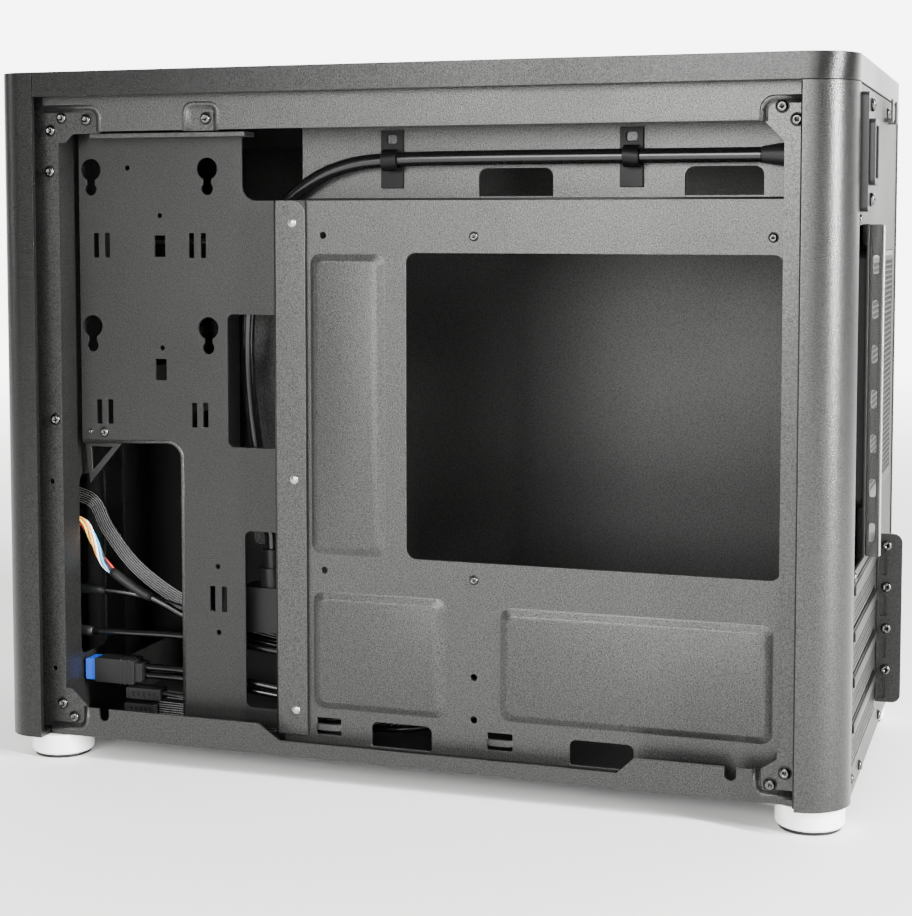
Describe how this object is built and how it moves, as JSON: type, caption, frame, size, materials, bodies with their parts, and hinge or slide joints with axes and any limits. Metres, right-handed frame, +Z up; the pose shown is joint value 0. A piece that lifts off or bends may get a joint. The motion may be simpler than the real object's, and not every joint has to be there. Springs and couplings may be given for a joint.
{
  "type": "desktop computer case",
  "caption": "Empty upright computer case with its right side open, showing the board tray, drive plate, clipped mains lead, rear fan and front connectors.",
  "frame": {"origin": "centre of the bounding box, at the underside of the feet", "axes": "+Z up, front connectors face -Y, rear wall faces +Y, the open side faces +X"},
  "size_m": [0.225, 0.4184, 0.334],
  "materials": {
    "cover_aluminium": "fine-blasted dark grey anodised",
    "chassis_steel": "fine-textured dark grey powder coat",
    "satin_aluminium": "satin, natural",
    "plated_steel": "nickel plated",
    "brass": "turned",
    "black_plastic": "matt black",
    "black_rubber": "smooth black",
    "circuit_board": "solder mask"
  },
  "bodies": {
    "chassis": {"audio_cable": "black_rubber", "audio_plug": "black_plastic", "bottom_chassis": "chassis_steel", "cable_clip_front": "black_plastic", "cable_clip_rear": "black_plastic", "channel_plate": "chassis_steel", "drive_plate": "chassis_steel", "fan_frame": "black_plastic", "foot_front_left": "satin_aluminium", "foot_front_right": "satin_aluminium", "foot_pad_front_left": "black_rubber", "foot_pad_front_right": "black_rubber", "foot_pad_rear_left": "black_rubber", "foot_pad_rear_right": "black_rubber", "foot_rear_left": "satin_aluminium", "foot_rear_right": "satin_aluminium", "front_frame": "chassis_steel", "front_io_board": "circuit_board", "front_panel": "cover_aluminium", "headphone_jack": "black_plastic", "inlet_strain_relief": "black_rubber", "io_opening_rib": "chassis_steel", "mains_cord": "black_rubber", "mains_plug": "black_plastic", "microphone_jack": "black_plastic", "motherboard_tray": "chassis_steel", "panel_plug": "black_plastic", "panel_ribbon": "black_rubber", "power_inlet": "black_plastic", "psu_bracket": "chassis_steel", "rear_fan_grille": "chassis_steel", "rear_plate": "chassis_steel", "rear_post_left": "cover_aluminium", "rear_post_right": "cover_aluminium", "slot_bracket": "chassis_steel", "slot_cover_1": "chassis_steel", "slot_cover_2": "chassis_steel", "slot_cover_3": "chassis_steel", "slot_cover_4": "chassis_steel", "slot_screw_1": "plated_steel", "slot_screw_2": "plated_steel", "slot_screw_3": "plated_steel", "slot_screw_4": "plated_steel", "standoff_1": "brass", "standoff_2": "brass", "standoff_3": "brass", "standoff_4": "brass", "top_chassis": "chassis_steel", "top_panel": "cover_aluminium", "usb3_cable_a": "black_rubber", "usb3_cable_b": "black_rubber", "usb3_plug": "black_plastic", "usb_port_lower": "plated_steel", "usb_port_upper": "plated_steel"},
    "fan": {"fan_rotor": "black_plastic"},
    "power_key": {"power_button": "satin_aluminium"},
    "reset_key": {"reset_button": "black_plastic"},
    "left_cover": {"left_side_panel": "cover_aluminium"}
  },
  "joints": [
    {"name": "fan_spin", "type": "hinge", "parent": "chassis", "child": "fan", "pos_m": [-0.0255, 0.1805, 0.191], "axis": [0, 1, 0], "continuous": true},
    {"name": "power_press", "type": "slide", "parent": "chassis", "child": "power_key", "axis": [0, 1, 0], "range_m": [0, 0.0015], "stiffness_N_per_m": 400, "springref_m": -0.002},
    {"name": "reset_press", "type": "slide", "parent": "chassis", "child": "reset_key", "axis": [0, 1, 0], "range_m": [0, 0.0015], "stiffness_N_per_m": 300, "springref_m": -0.002},
    {"name": "left_cover_pull", "type": "slide", "parent": "chassis", "child": "left_cover", "axis": [-1, 0, 0], "range_m": [0, 0.03]}
  ]
}
